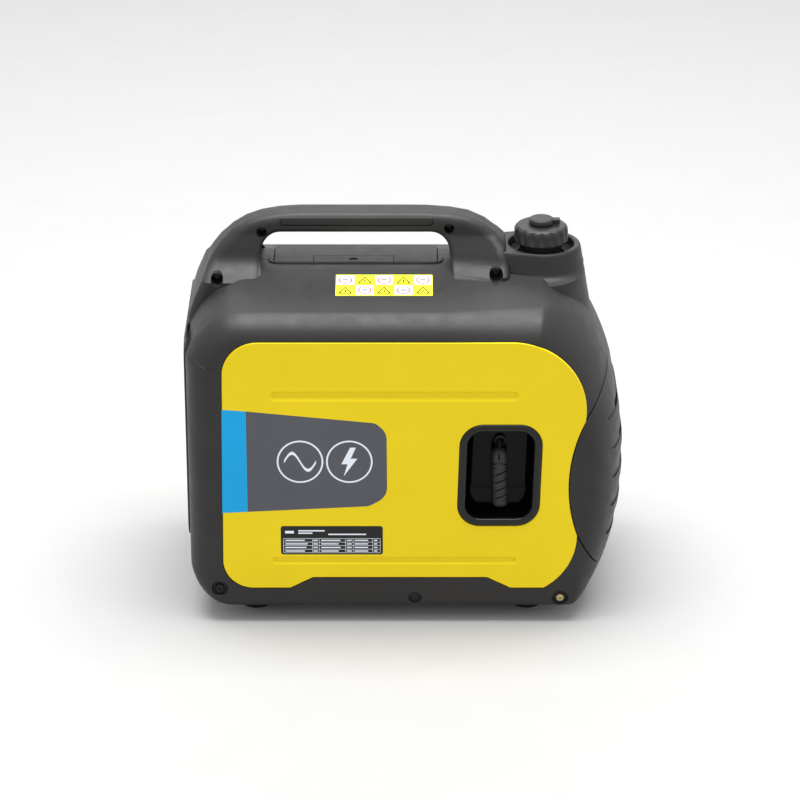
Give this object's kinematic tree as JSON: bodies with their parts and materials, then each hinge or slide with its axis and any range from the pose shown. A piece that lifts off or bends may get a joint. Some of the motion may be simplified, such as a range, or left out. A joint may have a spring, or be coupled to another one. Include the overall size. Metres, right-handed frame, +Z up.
{
  "type": "portable generator",
  "caption": "Suitcase-style inverter generator with carrying handle, recoil starter, fuel cap, control panel, louvred exhaust end and removable side covers.",
  "frame": {"origin": "centre of the overall box on the ground plane under the feet", "axes": "+Z up, -Y is the side with the starter, -X is the control panel end, +X is the exhaust end"},
  "size_m": [0.499, 0.285, 0.455],
  "materials": {
    "charcoal_shell": "fine moulded texture, satin",
    "yellow_panel": "semi-gloss moulded",
    "gloss_black": "gloss",
    "inner_plastic": "plain moulded",
    "black_rubber": "matt",
    "cast_aluminium": "as cast",
    "plain_steel": "zinc plated",
    "brass_screw": "yellow passivated",
    "copper_winding": "enamelled wire",
    "plug_ceramic": "glazed",
    "cord_nylon": "braided",
    "indicator_lens": "translucent, gloss",
    "switch_red": "semi-gloss"
  },
  "bodies": {
    "generator": {"front_casing": "charcoal_shell", "rear_casing": "charcoal_shell", "outlet_cover": "charcoal_shell", "control_frame": "charcoal_shell", "filler_surround": "charcoal_shell", "front_panel": "yellow_panel", "starter_bezel": "gloss_black", "control_panel": "gloss_black", "ac_socket_right": "gloss_black", "ac_socket_left": "gloss_black", "dc_socket": "gloss_black", "usb_socket": "gloss_black", "eco_frame": "gloss_black", "breaker_block": "gloss_black", "base_tray": "inner_plastic", "recoil_housing": "inner_plastic", "air_cleaner": "inner_plastic", "fuel_tank": "inner_plastic", "foot_front_left": "black_rubber", "foot_front_right": "black_rubber", "foot_rear_left": "black_rubber", "foot_rear_right": "black_rubber", "engine_mount_left": "black_rubber", "engine_mount_right": "black_rubber", "plug_cap": "black_rubber", "fuel_hose": "black_rubber", "ignition_coil": "black_rubber", "crankcase": "cast_aluminium", "cylinder": "cast_aluminium", "cylinder_head": "cast_aluminium", "carburettor": "cast_aluminium", "inverter_module": "cast_aluminium", "muffler": "plain_steel", "exhaust_pipe": "plain_steel", "outlet_grille": "plain_steel", "earth_terminal": "plain_steel", "casing_screw_left": "plain_steel", "casing_screw_right": "brass_screw", "stator": "copper_winding", "spark_plug": "plug_ceramic", "indicator_strip": "indicator_lens"},
    "pull_grip": {"starter_grip": "charcoal_shell", "starter_cord": "cord_nylon"},
    "reel": {"recoil_reel": "inner_plastic"},
    "rotor": {"flywheel_rotor": "cast_aluminium", "crankshaft": "plain_steel"},
    "cap_seal": {"cap_gasket": "black_rubber"},
    "cap": {"fuel_cap": "charcoal_shell"},
    "vent": {"vent_knob": "charcoal_shell"},
    "run_switch": {"engine_switch": "switch_red"},
    "eco_key": {"eco_rocker": "gloss_black"},
    "ac_reset": {"ac_breaker": "switch_red"},
    "dc_reset": {"dc_breaker": "switch_red"},
    "cover_right": {"socket_cover_right": "charcoal_shell"},
    "cover_left": {"socket_cover_left": "charcoal_shell"},
    "lid": {"top_lid": "charcoal_shell"},
    "latch": {"lid_latch": "charcoal_shell"},
    "rear_cover": {"service_cover": "yellow_panel"},
    "lock_screw": {"cover_lock": "plain_steel"},
    "oil_cap": {"oil_filler_cap": "inner_plastic"}
  },
  "joints": [
    {"name": "grip_pull", "type": "slide", "parent": "generator", "child": "pull_grip", "axis": [0, -1, 0], "range_m": [0, 0.6], "stiffness_N_per_m": 20},
    {"name": "reel_spin", "type": "hinge", "parent": "generator", "child": "reel", "pos_m": [0.04, 0, 0.165], "axis": [0, 1, 0], "range_deg": [0, 702]},
    {"name": "rotor_spin", "type": "hinge", "parent": "generator", "child": "rotor", "pos_m": [0.04, 0, 0.165], "axis": [0, 1, 0], "continuous": true},
    {"name": "seal_lift", "type": "slide", "parent": "generator", "child": "cap_seal", "axis": [0, 0, 1], "range_m": [0, 0.006]},
    {"name": "cap_turn", "type": "hinge", "parent": "cap_seal", "child": "cap", "pos_m": [0.154, 0, 0.436], "axis": [0, 0, 1], "range_deg": [0, 360]},
    {"name": "vent_turn", "type": "hinge", "parent": "cap", "child": "vent", "pos_m": [0.154, 0, 0.4363], "axis": [0, 0, 1], "range_deg": [0, 90]},
    {"name": "run_switch_turn", "type": "hinge", "parent": "generator", "child": "run_switch", "pos_m": [-0.2394, 0.06, 0.224], "axis": [1, 0, 0], "range_deg": [0, 100]},
    {"name": "eco_tip", "type": "hinge", "parent": "generator", "child": "eco_key", "pos_m": [-0.2361, 0.012, 0.224], "axis": [0, 1, 0], "range_deg": [-8, 8]},
    {"name": "ac_reset_press", "type": "slide", "parent": "generator", "child": "ac_reset", "axis": [1, 0, 0], "range_m": [0, 0.003], "stiffness_N_per_m": 200},
    {"name": "dc_reset_press", "type": "slide", "parent": "generator", "child": "dc_reset", "axis": [1, 0, 0], "range_m": [0, 0.003], "stiffness_N_per_m": 200},
    {"name": "cover_right_lift", "type": "hinge", "parent": "generator", "child": "cover_right", "pos_m": [-0.2434, -0.044, 0.1635], "axis": [0, 1, 0], "range_deg": [0, 110], "stiffness_Nm_per_rad": 0.01, "springref_deg": -34.38},
    {"name": "cover_left_lift", "type": "hinge", "parent": "generator", "child": "cover_left", "pos_m": [-0.2434, 0.044, 0.1635], "axis": [0, 1, 0], "range_deg": [0, 110], "stiffness_Nm_per_rad": 0.01, "springref_deg": -34.38},
    {"name": "lid_lift", "type": "hinge", "parent": "generator", "child": "lid", "pos_m": [-0.057, 0.046, 0.3925], "axis": [-1, 0, 0], "range_deg": [0, 40]},
    {"name": "latch_press", "type": "hinge", "parent": "lid", "child": "latch", "pos_m": [-0.0595, 0.0114, 0.391], "axis": [1, 0, 0], "range_deg": [0, 10], "stiffness_Nm_per_rad": 0.05, "springref_deg": -5.73},
    {"name": "rear_cover_off", "type": "slide", "parent": "generator", "child": "rear_cover", "axis": [0, 1, 0], "range_m": [0, 0.12]},
    {"name": "lock_turn", "type": "hinge", "parent": "rear_cover", "child": "lock_screw", "pos_m": [-0.03, 0.1425, 0.3175], "axis": [0, 1, 0], "range_deg": [0, 90]},
    {"name": "oil_cap_turn", "type": "hinge", "parent": "generator", "child": "oil_cap", "pos_m": [0.1, 0.074, 0.145], "axis": [0.3502, 0.7505, 0.5604], "range_deg": [0, 180]}
  ],
  "couplings": [
    {"joint": "reel_spin", "follows": "grip_pull", "rad_per_m": 20.408},
    {"joint": "cap_turn", "follows": "seal_lift", "rad_per_m": 1047.2}
  ]
}
